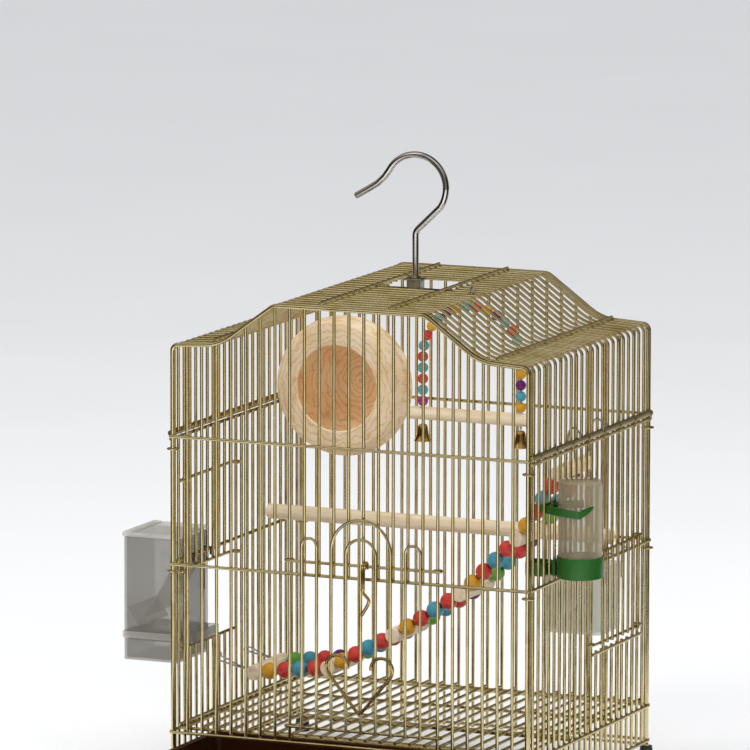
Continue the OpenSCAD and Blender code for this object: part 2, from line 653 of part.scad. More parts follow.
ladder_codes = ["YRBR", "GBRP"];
module ladder_beads(code) for (row = [0, 1]) for (k = [0 : 4]) {
  codes = ladder_codes[row];
  a = ladder_points[k];
  v = ladder_points[k + 1] - a;
  pitch = (norm(v) - 2 * rung_r) / 4;
  for (m = [0 : 3]) if (codes[m] == code) {
    p = a + unit(v) * (rung_r + (m + 0.5) * pitch);
    translate([p[0], ladder_y[row], p[1]]) rotate([0, 90 - atan2(v[1], v[0]), 0]) difference() {
      intersection() {
        sphere(r = ladder_bead_r, $fn = 32);
        cube([30, 30, ladder_bead_len], center = true);
      }
      translate([0, 0, -10]) cylinder(h = 20, r = 1.5, $fn = 24);
    }
  }
}
module ladder_beads_red() color("#c9261d") placed() ladder_beads("R");
module ladder_beads_blue() color("#3f9fb0") placed() ladder_beads("B");
module ladder_beads_yellow() color("#dd9e10") placed() ladder_beads("Y");
module ladder_beads_green() color("#58a83a") placed() ladder_beads("G");
module ladder_beads_purple() color("#4a0a30") placed() ladder_beads("P");

front_panel();
back_panel();
roof_sheet();
left_side_panel();
right_side_panel();
hinge_strips();
corner_rings();
floor_grille();
base_frame();
feet();
hook_block();
hook();
hook_nut();
perch();
front_door();
door_heart();
door_latch();
left_feeder_door();
right_feeder_door();
tray();
hopper_shell();
hopper_lid();
hopper_chute();
hopper_trough();
hopper_hooks();
feeder_cup();
feeder_cup_hooks();
water_tube();
water_cup();
water_clip();
nest_bowl();
nest_bolt();
nest_washers();
nest_wing_nut();
swing_wire();
swing_perch();
bell_left();
bell_right();
swing_beads_red();
swing_beads_teal();
swing_beads_yellow();
swing_beads_purple();
swing_beads_magenta();
ladder_rungs();
ladder_wires();
ladder_beads_red();
ladder_beads_blue();
ladder_beads_yellow();
ladder_beads_green();
ladder_beads_purple();
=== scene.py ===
"""Looks of the wire bird cage. Sizes and places are in millimetres, measured from the cage itself:
X across the front, Y front to back, Z = 0 at the floor rail. at() turns them into the frame's metres."""

import math

import bpy
from mathutils import Matrix, Vector


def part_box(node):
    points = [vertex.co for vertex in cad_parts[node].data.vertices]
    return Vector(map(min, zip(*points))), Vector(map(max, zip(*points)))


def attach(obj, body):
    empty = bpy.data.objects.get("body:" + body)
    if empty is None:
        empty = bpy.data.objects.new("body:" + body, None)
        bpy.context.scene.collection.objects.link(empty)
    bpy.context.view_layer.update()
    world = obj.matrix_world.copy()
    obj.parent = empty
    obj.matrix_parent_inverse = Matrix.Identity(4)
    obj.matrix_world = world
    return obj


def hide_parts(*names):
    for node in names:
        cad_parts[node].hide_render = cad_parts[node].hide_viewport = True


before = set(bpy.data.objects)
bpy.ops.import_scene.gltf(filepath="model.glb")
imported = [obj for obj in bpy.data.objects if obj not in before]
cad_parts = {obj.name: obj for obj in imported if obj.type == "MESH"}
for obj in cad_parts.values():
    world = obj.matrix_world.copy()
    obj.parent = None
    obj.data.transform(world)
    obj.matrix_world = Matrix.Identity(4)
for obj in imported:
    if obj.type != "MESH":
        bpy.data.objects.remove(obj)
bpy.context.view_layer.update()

MM = 0.001
FEET_LOW, FEET_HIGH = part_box("feet")
BASE_Z = -52.3  # underside of the feet
ORIGIN = Vector(((FEET_LOW.x + FEET_HIGH.x) / 2, (FEET_LOW.y + FEET_HIGH.y) / 2, FEET_LOW.z - BASE_Z * MM))

# Cage body
HALF_W, HALF_D = 175.0, 146.0
SHOULDER_Z, ROOF_Z, FLAT_HALF = 358.0, 400.0, 74.0
MID_RAIL_Z, UPPER_RAIL_Z, LOW_RAIL_Z = 156.0, 274.0, -33.0
BAR, POST, DOOR_BAR = 3.0, 4.0, 2.8
RAIL_STEP = BAR - 0.2
DOOR_RAIL_STEP = RAIL_STEP + 0.8
DOOR_BAR_STEP = DOOR_RAIL_STEP + 2.5
EDGE_Y = HALF_D - 3.7
FRONT_X = [-HALF_W + i * 2 * HALF_W / 24 for i in range(25)]
SIDE_GAPS = 23


def side_y(j):
    """Depth of side bar j; halves fall midway between two bars."""
    return -HALF_D + j * 2 * HALF_D / SIDE_GAPS


SIDE_Y = [side_y(j) for j in range(SIDE_GAPS + 1)]
SHOULDER_FALL = 0.06
SLOPE = math.tan(math.radians(36))
FOOT_X = (ROOF_Z - SHOULDER_Z + FLAT_HALF * SLOPE - HALF_W * SHOULDER_FALL) / (SLOPE - SHOULDER_FALL)
FOOT_Z = ROOF_Z - (FOOT_X - FLAT_HALF) * SLOPE

# Roof opening and hook
ROD_X, OUTER_ROD_X = 34.5, 139.0
HOOK_Y = SIDE_Y[12]
BRIDGE_Z = ROOF_Z - 3.4
HOOK_MID_Z, HOOK_R = 493.5, 30.0

# Doors and fittings
DOOR_MID_X = (FRONT_X[8] + FRONT_X[18]) / 2
LEFT_DOOR_LIFT = 64.0
LEFT_J, RIGHT_J = (2, 11), (12, 21)
TRAY_PULL = 205.0
PERCH_Y = (SIDE_Y[16] + SIDE_Y[17]) / 2
PERCH_Z = 172.0
WATER_X = HALF_W + 27.5
WATER_Y = (SIDE_Y[4] + SIDE_Y[5]) / 2
BOWL = (-107.0, 70.0, 291.0)
SWING_X, SWING_Y, SWING_LOW_Z, SWING_HALF, SWING_BEND_Z = 61.5, SIDE_Y[11], 287.0, 48.5, 340.0
SWING_CODES = "MTRTRTRYTPYTRYPTRTRTYPTY"
SWING_FIRST = 11.3
SWING_WIRE = 2 * (SWING_BEND_Z - SWING_LOW_Z) + math.pi * SWING_HALF
SWING_PITCH = (SWING_WIRE - 2 * SWING_FIRST) / (len(SWING_CODES) - 1)
LADDER_POINTS = [(-139, 40), (-64, 50), (1, 85.5), (67, 129), (123, 184), (163, 247)]
LADDER_LEFT, LADDER_RIGHT = (-172, 47), (171, 262)
LADDER_Y = (-42, 15)
LADDER_CODES = ("YRBR", "GBRP")
RUNG_R = 7.1


def at(x, y, z):
    """Cage millimetres to frame metres."""
    return ORIGIN + Vector((x, y, z)) * MM


# ---- Materials ----


def ramp(nodes, links, factor, stops):
    """Colour ramp driven by factor; stops are (place, colour)."""
    node = nodes.new("ShaderNodeValToRGB")
    elements = node.color_ramp.elements
    for element, (place, colour) in zip([elements[0], elements[1]], [stops[0], stops[-1]]):
        element.position = place
        element.color = (*colour, 1)
    for place, colour in stops[1:-1]:
        element = elements.new(place)
        element.color = (*colour, 1)
    links.new(factor, node.inputs[0])
    return node.outputs[0]


def surface(name, colours, rough, scale=60.0, stretch=(1, 1, 1), bump=0.02, bump_scale=400.0,
            distort=0.0, veil=None, **constants):
    """Principled material: cloudy colour from colours, roughness between the two values of rough, fine bump.
    veil is how opaque a clear wall is, seen square on and edge on."""
    mat = bpy.data.materials.new(name)
    mat.use_nodes = True
    nodes, links = mat.node_tree.nodes, mat.node_tree.links
    shader = nodes["Principled BSDF"]
    for socket, value in constants.items():
        shader.inputs[socket.replace("_", " ")].default_value = value
    coords = nodes.new("ShaderNodeTexCoord")
    mapping = nodes.new("ShaderNodeMapping")
    mapping.inputs["Scale"].default_value = stretch
    links.new(coords.outputs["Object"], mapping.inputs[0])
    cloud = nodes.new("ShaderNodeTexNoise")
    cloud.inputs["Scale"].default_value = scale
    cloud.inputs["Detail"].default_value = 5
    cloud.inputs["Distortion"].default_value = distort
    links.new(mapping.outputs[0], cloud.inputs["Vector"])
    places = [0.3 + 0.4 * k / (len(colours) - 1) for k in range(len(colours))]
    links.new(ramp(nodes, links, cloud.outputs[0], list(zip(places, colours))), shader.inputs["Base Color"])
    wear = nodes.new("ShaderNodeMapRange")
    wear.inputs["From Min"].default_value = 0.3
    wear.inputs["From Max"].default_value = 0.7
    wear.inputs["To Min"].default_value, wear.inputs["To Max"].default_value = rough
    links.new(cloud.outputs[0], wear.inputs["Value"])
    links.new(wear.outputs[0], shader.inputs["Roughness"])
    grain = nodes.new("ShaderNodeTexNoise")
    grain.inputs["Scale"].default_value = bump_scale
    grain.inputs["Detail"].default_value = 3
    links.new(mapping.outputs[0], grain.inputs["Vector"])
    height = nodes.new("ShaderNodeBump")
    height.inputs["Strength"].default_value = bump
    height.inputs["Distance"].default_value = 0.001
    links.new(grain.outputs[0], height.inputs["Height"])
    links.new(height.outputs[0], shader.inputs["Normal"])
    if veil:
        facing = nodes.new("ShaderNodeLayerWeight")
        facing.inputs["Blend"].default_value = 0.35
        opaque = nodes.new("ShaderNodeMapRange")
        opaque.inputs["To Min"].default_value, opaque.inputs["To Max"].default_value = veil
        links.new(facing.outputs["Facing"], opaque.inputs["Value"])
        links.new(opaque.outputs[0], shader.inputs["Alpha"])
    return mat


def turned_wood(name, centre, colours):
    """Burled wood turned about the Y axis through centre: thin dark rings bent by noise."""
    mat = surface(name, colours, (0.5, 0.75), scale=26, distort=1.6, bump=0.15, bump_scale=260)
    nodes, links = mat.node_tree.nodes, mat.node_tree.links
    shader = nodes["Principled BSDF"]
    coords = nodes.new("ShaderNodeTexCoord")
    mapping = nodes.new("ShaderNodeMapping")
    mapping.vector_type = "TEXTURE"
    mapping.inputs["Location"].default_value = centre
    links.new(coords.outputs["Object"], mapping.inputs[0])
    rings = nodes.new("ShaderNodeTexWave")
    rings.wave_type = "RINGS"
    rings.rings_direction = "Y"
    rings.inputs["Scale"].default_value = 58
    rings.inputs["Distortion"].default_value = 9
    rings.inputs["Detail"].default_value = 6
    rings.inputs["Detail Scale"].default_value = 1.6
    links.new(mapping.outputs[0], rings.inputs["Vector"])
    mix = nodes.new("ShaderNodeMix")
    mix.data_type = "RGBA"
    mix.blend_type = "MULTIPLY"
    mix.inputs["Factor"].default_value = 0.75
    cloud = shader.inputs["Base Color"].links[0].from_socket
    tint = ramp(nodes, links, rings.outputs["Fac"],
                [(0.0, (0.8, 0.62, 0.44)), (0.12, (0.94, 0.87, 0.78)), (0.5, (1, 1, 1))])
    links.new(cloud, mix.inputs["A"])
    links.new(tint, mix.inputs["B"])
    links.new(mix.outputs["Result"], shader.inputs["Base Color"])
    return mat


GOLD = surface(
    "gold_wire", [(0.58, 0.47, 0.21), (0.74, 0.63, 0.34), (0.8, 0.71, 0.44)], (0.14, 0.28),
    scale=45, bump=0.03, bump_scale=900, Metallic=1.0)
# Darker copy of the gold wire for the side walls, floor wires, runners, hinge rod and side doors: painted
# shade, as they are the same wire as the front.
GOLD_PAINTED_SHADE = surface(
    "gold_wire_side_painted_shade", [(0.5, 0.4, 0.17), (0.68, 0.57, 0.3), (0.78, 0.68, 0.4)], (0.16, 0.3),
    scale=60, bump=0.03, bump_scale=900, Metallic=1.0)
# Much darker copy of the gold wire for the hinge roll: painted dark reflection of dark surroundings, not a
# darker metal.
GOLD_PAINTED_DARK_REFLECTION = surface(
    "gold_roll_painted_dark_reflection", [(0.36, 0.3, 0.16), (0.46, 0.4, 0.22), (0.56, 0.5, 0.31)], (0.2, 0.34),
    scale=50, bump=0.05, bump_scale=500, Metallic=1.0)
BRASS = surface(
    "brass", [(0.48, 0.33, 0.1), (0.66, 0.48, 0.18), (0.75, 0.58, 0.26)], (0.16, 0.3),
    scale=80, bump=0.03, bump_scale=700, Metallic=1.0)
BELL_BRASS = surface(
    "bell_brass", [(0.72, 0.44, 0.14), (0.9, 0.62, 0.26)], (0.1, 0.22), scale=90, bump=0.02, Metallic=1.0)
CHROME = surface(
    "chrome", [(0.66, 0.66, 0.67), (0.8, 0.8, 0.81)], (0.07, 0.16), scale=30, bump=0.01, Metallic=1.0)
ZINC = surface(
    "zinc", [(0.5, 0.51, 0.52), (0.72, 0.73, 0.74)], (0.22, 0.4), scale=120, bump=0.05, Metallic=1.0)
DARK_STEEL = surface(
    "dark_steel", [(0.05, 0.045, 0.04), (0.13, 0.12, 0.1)], (0.3, 0.5), scale=120, Metallic=0.8)
PALE_LONG = surface(
    "pale_wood_x", [(0.74, 0.55, 0.35), (0.85, 0.69, 0.47), (0.91, 0.78, 0.58)], (0.45, 0.65),
    scale=240, stretch=(0.06, 1, 1), bump=0.12, bump_scale=900)
PALE_CROSS = surface(
    "pale_wood_y", [(0.74, 0.55, 0.35), (0.86, 0.7, 0.49), (0.92, 0.79, 0.6)], (0.45, 0.65),
    scale=240, stretch=(1, 0.06, 1), bump=0.12, bump_scale=900)
NEST_WOOD = turned_wood(
    "nest_wood", at(*BOWL), [(0.8, 0.56, 0.31), (0.88, 0.68, 0.44), (0.93, 0.77, 0.55)])
# Inside of the bowl: its wood is a more orange tone, and the colours are raised further as painted light to
# offset the shade in the hollow.
NEST_INSIDE_PAINTED_LIGHT = turned_wood(
    "nest_wood_inside_painted_light", at(*BOWL), [(0.94, 0.64, 0.35), (0.98, 0.74, 0.45), (1.0, 0.82, 0.56)])
TRAY_BROWN = surface(
    "tray_brown", [(0.028, 0.006, 0.002), (0.05, 0.012, 0.004)], (0.1, 0.22),
    scale=12, bump=0.03, bump_scale=60, Coat_Weight=0.4, Coat_Roughness=0.05)
SMOKE = surface(
    "smoke_acrylic", [(0.25, 0.235, 0.19), (0.3, 0.285, 0.24)], (0.06, 0.14),
    scale=20, bump=0.01, veil=(0.32, 0.7))
SMOKE_PALE = surface(
    "smoke_acrylic_pale", [(0.6, 0.59, 0.53), (0.7, 0.69, 0.63)], (0.1, 0.2),
    scale=30, bump=0.02, veil=(0.32, 0.7))
FROSTED = surface(
    "frosted_plastic", [(0.6, 0.58, 0.48), (0.68, 0.66, 0.56)], (0.35, 0.5),
    scale=20, bump=0.05, bump_scale=900, Alpha=0.42)
TUBE_SMOKE = surface(
    "tube_plastic", [(0.36, 0.3, 0.19), (0.43, 0.37, 0.24)], (0.04, 0.1),
    scale=14, bump=0.01, veil=(0.26, 0.9), Coat_Weight=1.0, Coat_Roughness=0.03)
GREEN = surface(
    "green_plastic", [(0.012, 0.085, 0.01), (0.02, 0.12, 0.016)], (0.22, 0.36),
    scale=40, bump=0.03, bump_scale=700)
FOOT_BLACK = surface(
    "foot_plastic", [(0.015, 0.015, 0.015), (0.03, 0.03, 0.03)], (0.4, 0.6), scale=90, bump=0.08)
BEADS = {
    code: surface("bead_" + name, [tuple(0.86 * c for c in colour), colour], (0.2, 0.36), scale=70, bump=0.03,
                  bump_scale=300, Coat_Weight=0.3, Coat_Roughness=0.12)
    for code, (name, colour) in {
        "R": ("red", (0.66, 0.045, 0.035)),
        "T": ("teal", (0.07, 0.36, 0.45)),
        "B": ("blue", (0.055, 0.31, 0.42)),
        "Y": ("yellow", (0.72, 0.34, 0.01)),
        "G": ("green", (0.12, 0.42, 0.05)),
        "P": ("purple", (0.14, 0.008, 0.14)),
        "M": ("magenta", (0.45, 0.02, 0.2)),
    }.items()
}


# ---- Paths ----


def rounded(points, radii, step=7):
    """Polyline in a plane with each inner corner turned into an arc; points are (a, b) pairs."""
    out = [Vector(points[0])]
    for i in range(1, len(points) - 1):
        before, here, after = Vector(points[i - 1]), Vector(points[i]), Vector(points[i + 1])
        u, v = (here - before).normalized(), (after - here).normalized()
        angle = u.angle(v)
        if radii[i] == 0 or angle < 1e-4:
            out.append(here)
            continue
        side = 1 if u.x * v.y - u.y * v.x > 0 else -1
        start = here - u * radii[i] * math.tan(angle / 2)
        centre = start + Vector((-u.y, u.x)) * side * radii[i]
        count = max(2, round(math.degrees(angle) / step))
        for k in range(count + 1):
            turn = Matrix.Rotation(side * angle * k / count, 2)
            out.append(centre + turn @ (start - centre))
    out.append(Vector(points[-1]))
    return out


def arc(centre, r, a0, a1, n):
    """Points on an arc in a plane, angles in degrees."""
    angles = [math.radians(a0 + (a1 - a0) * k / n) for k in range(n + 1)]
    return [(centre[0] + r * math.cos(a), centre[1] + r * math.sin(a)) for a in angles]


def smooth(points, per_span=6):
    """Catmull-Rom curve through 3-D points."""
    p = [Vector(q) for q in points]
    p = [2 * p[0] - p[1], *p, 2 * p[-1] - p[-2]]
    out = []
    for i in range(1, len(p) - 2):
        for k in range(per_span):
            t = k / per_span
            bend = 2 * p[i - 1] - 5 * p[i] + 4 * p[i + 1] - p[i + 2]
            twist = 3 * p[i] - p[i - 1] - 3 * p[i + 1] + p[i + 2]
            out.append(0.5 * (2 * p[i] + (p[i + 1] - p[i - 1]) * t + bend * t**2 + twist * t**3))
    return [*out, p[-2]]


def in_xz(path, y):
    """Path of (x, z) pairs stood up in the plane at y."""
    return [(p[0], y, p[1]) for p in path]


CROWN = rounded([(0, ROOF_Z), (FLAT_HALF, ROOF_Z), (FOOT_X, FOOT_Z), (HALF_W, SHOULDER_Z)], [0, 12, 48, 0])


def crown_z(x):
    """Height of the roof line at x."""
    x = abs(x)
    for a, b in zip(CROWN, CROWN[1:]):
        if a.x <= x <= b.x:
            return a.y + (b.y - a.y) * (x - a.x) / (b.x - a.x)
    return SHOULDER_Z


def roof_path(low_z, corner_r):
    """Ogee outline from the left wall over the roof to the right wall."""
    half = [(HALF_W, low_z), (HALF_W, SHOULDER_Z), (FOOT_X, FOOT_Z), (FLAT_HALF, ROOF_Z)]
    left = [(-x, z) for x, z in half]
    return rounded([*left, *reversed(half)], [0, corner_r, 48, 12, 12, 48, corner_r, 0])


# ---- Mesh makers ----


class Mesh:
    """Collects the faces of one piece, in cage millimetres."""

    def __init__(self):
        self.verts, self.faces, self.slots = [], [], []
        self.slot = 0

    def ring_faces(self, a, b, n, closed=True):
        for k in range(n if closed else n - 1):
            m = (k + 1) % n
            self.faces.append((a + k, a + m, b + m, b + k))
            self.slots.append(self.slot)

    def cap(self, start, n, flip):
        face = list(range(start, start + n))
        self.faces.append(tuple(reversed(face)) if flip else tuple(face))
        self.slots.append(self.slot)

    def tube(self, path, d, sides=12, closed=False, flat=1.0):
        """Round wire along path, with softly rounded ends; flat squeezes it across its first side axis."""
        p = [Vector(q) for q in path]
        n = len(p)
        tangents = []
        for i in range(n):
            before = p[i - 1] if i or closed else p[i]
            after = p[(i + 1) % n] if i < n - 1 or closed else p[i]
            tangents.append((after - before).normalized())
        axis = Vector((0, 0, 1)) if abs(tangents[0].z) < 0.9 else Vector((0, 1, 0))
        side = (axis - tangents[0] * axis.dot(tangents[0])).normalized()
        rings = []
        for i, t in enumerate(tangents):
            side = (side - t * side.dot(t)).normalized()
            rings.append((p[i], t, side, d / 2))
        if not closed:
            (p0, t0, s0, r), (p1, t1, s1, _) = rings[0], rings[-1]
            rings = [(p0, t0, s0, r * 0.72), (p0 + t0 * r * 0.3, t0, s0, r), *rings[1:-1],
                     (p1 - t1 * r * 0.3, t1, s1, r), (p1, t1, s1, r * 0.72)]
        start = len(self.verts)
        for centre, t, s, r in rings:
            other = t.cross(s)
            for k in range(sides):
                a = 2 * math.pi * k / sides
                self.verts.append(centre + s * math.cos(a) * r * flat + other * math.sin(a) * r)
        for i in range(len(rings) - 1):
            self.ring_faces(start + i * sides, start + (i + 1) * sides, sides)
        last = start + (len(rings) - 1) * sides
        if closed:
            self.ring_faces(last, start, sides)
        else:
            self.cap(start, sides, True)
            self.cap(last, sides, False)

    def lathe(self, profile, centre, axis=(0, 0, 1), steps=48):
        """Turned shape: profile is (radius, height along axis) from one end to the other."""
        turn = Vector(axis).to_track_quat("Z", "Y").to_matrix()
        start = len(self.verts)
        for r, h in profile:
            for k in range(steps):
                a = 2 * math.pi * k / steps
                self.verts.append(Vector(centre) + turn @ Vector((r * math.cos(a), r * math.sin(a), h)))
        for i in range(len(profile) - 1):
            self.ring_faces(start + i * steps, start + (i + 1) * steps, steps)

    def loft(self, loops, caps=(True, True)):
        """Skin over closed loops with equal numbers of points."""
        start, n = len(self.verts), len(loops[0])
        for loop in loops:
            self.verts.extend(Vector(q) for q in loop)
        for i in range(len(loops) - 1):
            self.ring_faces(start + i * n, start + (i + 1) * n, n)
        if caps[0]:
            self.cap(start, n, True)
        if caps[1]:
            self.cap(start + (len(loops) - 1) * n, n, False)

    def slab(self, x0, x1, y0, y1, z0, z1, r=0.6):
        """Box with rounded upright corners and chamfered rims."""

        def loop(inset, z):
            return rect(x0 + inset, x1 - inset, y0 + inset, y1 - inset, z, max(r - inset, 0.05))

        c = min(0.4, r * 0.6)
        self.loft([loop(c, z0), loop(0, z0 + c), loop(0, z1 - c), loop(c, z1)])

    def piece(self, name, body, mats, slot, *replaced):
        """Makes the object, in frame metres, hangs it under its body and hides the CAD parts it replaces."""
        data = bpy.data.meshes.new(name)
        data.from_pydata([at(*v) for v in self.verts], [], self.faces)
        data.validate()
        for mat in mats if isinstance(mats, list) else [mats]:
            data.materials.append(mat)
        if len(self.slots) == len(data.polygons):
            data.polygons.foreach_set("material_index", self.slots)
        data.set_sharp_from_angle(angle=math.radians(38))
        obj = bpy.data.objects.new(name, data)
        bpy.context.scene.collection.objects.link(obj)
        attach(obj, body)
        if replaced:
            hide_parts(*replaced)


def rect(x0, x1, y0, y1, z, r, n=4):
    """Rounded rectangle in the XY plane at height z."""
    corners = [(x1 - r, y1 - r, 0), (x0 + r, y1 - r, 90), (x0 + r, y0 + r, 180), (x1 - r, y0 + r, 270)]
    return [(*q, z) for cx, cy, a in corners for q in arc((cx, cy), r, a, a + 90, n)]


def bead_profile(r, hole):
    """Outline of a bored bead for lathe(), its bore flared at both ends."""
    low = math.degrees(math.asin(hole / r))
    pts = [(r * math.sin(math.radians(a)), -r * math.cos(math.radians(a))) for a in
           [low + (180 - 2 * low) * k / 16 for k in range(17)]]
    return [(hole * 0.9, pts[0][1] + 0.8), *pts, (hole * 0.9, pts[-1][1] - 0.8)]


# ---- Wire panels ----


def end_panel(name, side, verticals, rails):
    """Front or back panel; verticals are (x, lower end) pairs and rails are heights."""
    mesh = Mesh()
    rail_y = side * (HALF_D + RAIL_STEP)
    mesh.tube(in_xz(roof_path(-46, 6), side * HALF_D), POST, sides=16)
    for x, low in verticals:
        mesh.tube([(x, side * HALF_D, low), (x, side * HALF_D, crown_z(x) - 0.5)], BAR)
    for z in rails:
        mesh.tube([(-HALF_W - 2, rail_y, z), (HALF_W + 2, rail_y, z)], BAR)
    mesh.piece(name + "_wires", "cage", GOLD, "gold_wire", name)


end_panel("front_panel", -1, [(x, 154 if 8 < i < 18 else -2) for i, x in enumerate(FRONT_X) if 0 < i < 24],
          (0, MID_RAIL_Z, UPPER_RAIL_Z))
end_panel("back_panel", 1, [(x, LOW_RAIL_Z - 2) for x in FRONT_X[1:-1]],
          (0, MID_RAIL_Z, UPPER_RAIL_Z, LOW_RAIL_Z))

roof = Mesh()
outline = roof_path(UPPER_RAIL_Z + 1.5, 6)
left_part = [p for p in outline if p.x < -ROD_X - 5] + [Vector((-ROD_X, ROOF_Z))]
right_part = [Vector((ROD_X, ROOF_Z))] + [p for p in outline if p.x > ROD_X + 5]
for j, wire_y in enumerate([-EDGE_Y, *SIDE_Y[1:-1], EDGE_Y]):
    for part in [left_part, right_part] if 12 <= j <= 16 else [outline]:
        roof.tube(in_xz(part, wire_y), BAR)
for s in (-1, 1):
    for x, z in ((ROD_X, ROOF_Z), (OUTER_ROD_X, crown_z(OUTER_ROD_X))):
        roof.tube([(s * x, -HALF_D + 12, z + 2.8), (s * x, HALF_D - 2.3, z + 2.8)], BAR)
    roof.tube([(s * (HALF_W + RAIL_STEP), -EDGE_Y - 2, UPPER_RAIL_Z + 3.5),
               (s * (HALF_W + RAIL_STEP), EDGE_Y + 2, UPPER_RAIL_Z + 3.5)], BAR)
roof.slab(-ROD_X - 6, ROD_X + 6, SIDE_Y[11] - 2, HOOK_Y + 10, BRIDGE_Z, BRIDGE_Z + 2.6, 2)
roof.piece("roof_wires", "cage", GOLD, "gold_wire", "roof_sheet")


def side_wires(name, side, opening):
    """Side wall with a door opening between the bars numbered in opening."""
    mesh = Mesh()
    x, rail_x = side * HALF_W, side * (HALF_W + RAIL_STEP)
    for j, y in enumerate([-EDGE_Y, *SIDE_Y[1:-1], EDGE_Y]):
        spans = [(LOW_RAIL_Z - 2, UPPER_RAIL_Z - 1.5)]
        if opening[0] < j < opening[1]:
            spans = [(LOW_RAIL_Z - 2, 73.8), (MID_RAIL_Z - 1.8, UPPER_RAIL_Z - 1.5)]
        for low, high in spans:
            mesh.tube([(x, y, low), (x, y, high)], BAR)
    for z in (LOW_RAIL_Z, 0, MID_RAIL_Z, UPPER_RAIL_Z - 3.5):
        mesh.tube([(rail_x, -EDGE_Y - 2, z), (rail_x, EDGE_Y + 2, z)], BAR)
    mesh.tube([(rail_x, SIDE_Y[opening[0]] - 2, 72), (rail_x, SIDE_Y[opening[1]] + 2, 72)], BAR)
    mesh.piece(name + "_wires", "cage", GOLD_PAINTED_SHADE, "gold_wire", name)


side_wires("left_side_panel", -1, LEFT_J)
side_wires("right_side_panel", 1, RIGHT_J)

# Rolled hinge of roof and side wall: a roll over a thin rod, with wire ties round both. The roll's dark gold
# is a painted dark reflection, and the rod and ties carry the side walls' painted shade
rolls = Mesh()
roll_z, roll_d = UPPER_RAIL_Z + 2, 5.6
rod_z, rod_d = UPPER_RAIL_Z - 3.4, 2.9
for s in (-1, 1):
    x = s * (HALF_W + RAIL_STEP)
    rolls.slot = 0
    rolls.tube([(x, -HALF_D + 1, roll_z), (x, HALF_D - 1, roll_z)], roll_d, sides=20)
    rolls.slot = 1
    rolls.tube([(x, -HALF_D + 1, rod_z), (x, HALF_D - 1, rod_z)], rod_d)
    for y in [(a + b) / 2 for a, b in zip(SIDE_Y[1::3], SIDE_Y[2::3])]:
        tie = arc((x, roll_z), 3.2, 0, 180, 10) + arc((x, rod_z), 2.1, 180, 360, 10)
        rolls.tube([(a, y, b) for a, b in tie], 1, sides=10, closed=True)
rolls.piece("hinge_rolls", "cage", [GOLD_PAINTED_DARK_REFLECTION, GOLD_PAINTED_SHADE], "hinge_metal", "hinge_strips")

rings = Mesh()
for s in (-1, 1):
    for t in (-1, 1):
        for z in (MID_RAIL_Z - 7, UPPER_RAIL_Z - 12):
            loop = [(*q, z) for q in arc((s * HALF_W, t * (HALF_D - 1.8)), 5.2, 0, 348, 28)]
            rings.tube(loop, 1.6, sides=10, closed=True)
rings.piece("corner_ring_wires", "cage", GOLD, "gold_wire", "corner_rings")

grille = Mesh()
GRILLE_Z, CROSS_Y = 3.25, 50.8
for s in (-1, 1):
    grille.tube([(-HALF_W + 4, s * (HALF_D - 5), GRILLE_Z), (HALF_W - 4, s * (HALF_D - 5), GRILLE_Z)], BAR)
    grille.tube([(-HALF_W - 5, s * CROSS_Y, GRILLE_Z), (HALF_W + 5, s * CROSS_Y, GRILLE_Z)], BAR)
for x in [-HALF_W + 4.2, *FRONT_X[1:-1], HALF_W - 4.2]:
    grille.tube([(x, y, GRILLE_Z + RAIL_STEP) for y in (-HALF_D + 3.6, HALF_D - 3.6)], BAR)
grille.piece("floor_grille_wires", "cage", GOLD_PAINTED_SHADE, "gold_wire", "floor_grille")

runners = Mesh()
for y in (-HALF_D + 4.4, -CROSS_Y, CROSS_Y, HALF_D - 4.4):
    runners.tube([(x, y, LOW_RAIL_Z - 3.3) for x in (-HALF_W - 4, HALF_W + 4)], BAR)
runners.piece("runner_wires", "cage", GOLD_PAINTED_SHADE, "gold_wire", "base_frame")

# ---- Hook ----

hook = Mesh()
crook = [(0, BRIDGE_Z - 9), *rounded([(0, 440), (0, 452.5), (24.5, 476)], [0, 9, 0]),
         *arc((0, HOOK_MID_Z), HOOK_R, -26, 150, 30), (-31, 501.5), (-38, 495), (-47, 489.5), (-60, 482)]
hook.tube([(p[0], HOOK_Y, p[1]) for p in crook], 5.9, sides=24)
hook.piece("hook_rod", "hanger", CHROME, "hook_chrome", "hook")

block = Mesh()
block.slab(-6.5, 6.5, HOOK_Y - 6.5, HOOK_Y + 6.5, BRIDGE_Z + 2.7, BRIDGE_Z + 11.2, 1.2)
block.slab(-9, 9, HOOK_Y - 7.5, HOOK_Y + 7.5, BRIDGE_Z + 11.2, BRIDGE_Z + 12.8, 1.2)
block.lathe([(3, 0), (5, 0), (5, 1.4), (4.4, 2), (3, 2)], (0, HOOK_Y, BRIDGE_Z + 12.7), steps=32)
block.piece("hook_block_plates", "cage", ZINC, "hook_chrome", "hook_block")

# ---- Perch ----

perch = Mesh()
half = HALF_W - BAR / 2 - 0.3
perch.lathe([(0.1, 0), (6, 0), (7, 1), (7, 2 * half - 1), (6, 2 * half), (0.1, 2 * half)],
            (-half, PERCH_Y, PERCH_Z), axis=(1, 0, 0), steps=40)
perch.piece("perch_dowel", "cage", PALE_LONG, "pale_wood", "perch")

# ---- Sliding doors ----


def front_loop(x, z, side):
    """End of a front door rail that curls round its guide bar, seen from the rail outwards."""
    return [(*q, z) for q in arc((x, -HALF_D), DOOR_RAIL_STEP, 270, 270 + side * 310, 24)]


